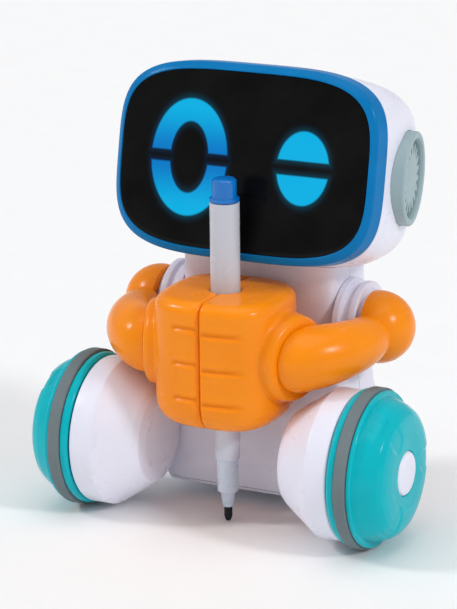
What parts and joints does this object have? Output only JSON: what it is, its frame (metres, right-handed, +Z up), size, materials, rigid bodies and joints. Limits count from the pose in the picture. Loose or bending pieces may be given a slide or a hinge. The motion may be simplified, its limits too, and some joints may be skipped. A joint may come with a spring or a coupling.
{
  "type": "educational coding robot",
  "caption": "Small two-wheeled drawing robot with a screen face, round side ears, teal wheels and orange arms whose clasped hands hold an upright felt-tip pen.",
  "frame": {"origin": "on the ground under the middle of the robot's bounding box", "axes": "+Z up; -Y is the way the face looks; +X is the robot's own left side, along the wheel axle"},
  "size_m": [0.1572, 0.1132, 0.1823],
  "materials": {
    "white_plastic": "smooth satin moulded",
    "orange_plastic": "smooth satin moulded",
    "teal_plastic": "smooth satin moulded",
    "blue_plastic": "smooth satin moulded",
    "screen_lens": "high gloss, tinted",
    "ear_plastic": "fine satin",
    "tyre_rubber": "matt",
    "steel": "plain",
    "black_plastic": "fine texture",
    "grey_plastic": "fine texture",
    "circuit_board": "solder mask",
    "cell_jacket": "printed foil, plain",
    "eye_light": "frosted light guide",
    "pen_barrel": "smooth",
    "pen_section": "translucent smooth",
    "felt": "bonded felt"
  },
  "bodies": {
    "body": {"base_plate": "white_plastic", "battery_1": "cell_jacket", "battery_2": "cell_jacket", "battery_3": "cell_jacket", "battery_4": "cell_jacket", "battery_box": "black_plastic", "body_front_shell": "white_plastic", "body_rear_shell": "white_plastic", "card_slot_frame": "teal_plastic", "caster_socket": "black_plastic", "face_light_board": "circuit_board", "head_bezel": "blue_plastic", "head_rear_shell": "white_plastic", "head_screen": "screen_lens", "left_drive_motor": "steel", "left_ear_grille": "ear_plastic", "left_eye_lower_light": "eye_light", "left_eye_upper_light": "eye_light", "left_motor_plate": "grey_plastic", "left_shell_screw": "steel", "left_shoulder_ring": "white_plastic", "left_wheel_pod": "white_plastic", "lift_motor": "steel", "main_board": "circuit_board", "right_drive_motor": "steel", "right_ear_grille": "ear_plastic", "right_eye_lower_light": "eye_light", "right_eye_upper_light": "eye_light", "right_motor_plate": "grey_plastic", "right_shell_screw": "steel", "right_shoulder_ring": "white_plastic", "right_wheel_pod": "white_plastic", "speaker": "black_plastic"},
    "left_wheel": {"left_wheel_rim": "teal_plastic", "left_wheel_dome": "teal_plastic", "left_tyre": "tyre_rubber", "left_wheel_cap": "white_plastic", "left_axle": "steel"},
    "right_wheel": {"right_wheel_rim": "teal_plastic", "right_wheel_dome": "teal_plastic", "right_tyre": "tyre_rubber", "right_wheel_cap": "white_plastic", "right_axle": "steel"},
    "caster": {"caster_ball": "steel"},
    "arms": {"left_arm": "orange_plastic", "right_arm": "orange_plastic", "left_hand": "orange_plastic", "right_hand": "orange_plastic", "arm_shaft": "steel", "lift_gear": "grey_plastic"},
    "lift_pinion": {"lift_pinion": "steel"},
    "pen": {"pen_barrel": "pen_barrel", "pen_end_plug": "blue_plastic", "pen_front_section": "pen_section", "pen_nib": "felt", "pen_ink_reservoir": "felt"},
    "battery_door": {"battery_door": "white_plastic", "battery_door_screw": "steel"},
    "power_switch": {"power_switch": "orange_plastic"},
    "go_button": {"go_button": "orange_plastic"}
  },
  "joints": [
    {"name": "left_wheel_spin", "type": "hinge", "parent": "body", "child": "left_wheel", "pos_m": [0.06, -0.02463, 0.032], "axis": [1, 0, 0], "continuous": true},
    {"name": "right_wheel_spin", "type": "hinge", "parent": "body", "child": "right_wheel", "pos_m": [-0.06, -0.02463, 0.032], "axis": [1, 0, 0], "continuous": true},
    {"name": "caster_roll", "type": "hinge", "parent": "body", "child": "caster", "pos_m": [0, 0.02037, 0.006], "axis": [1, 0, 0], "continuous": true},
    {"name": "arm_lift", "type": "hinge", "parent": "body", "child": "arms", "pos_m": [0, 0.01738, 0.0775], "axis": [1, 0, 0], "range_deg": [-2.5, 0]},
    {"name": "lift_pinion_spin", "type": "hinge", "parent": "body", "child": "lift_pinion", "pos_m": [0, 0.02312, 0.06327], "axis": [1, 0, 0], "range_deg": [0, 7.5]},
    {"name": "pen_slide", "type": "slide", "parent": "arms", "child": "pen", "axis": [0, 0, 1], "range_m": [0, 0.105]},
    {"name": "battery_door_release", "type": "slide", "parent": "body", "child": "battery_door", "axis": [0, 1, 0], "range_m": [0, 0.02]},
    {"name": "power_switch_slide", "type": "slide", "parent": "body", "child": "power_switch", "axis": [1, 0, 0], "range_m": [-0.003, 0.003]},
    {"name": "go_button_press", "type": "slide", "parent": "body", "child": "go_button", "axis": [0, -1, 0], "range_m": [0, 0.0012], "stiffness_N_per_m": 300}
  ],
  "couplings": [
    {"joint": "lift_pinion_spin", "follows": "arm_lift", "ratio": -3}
  ]
}
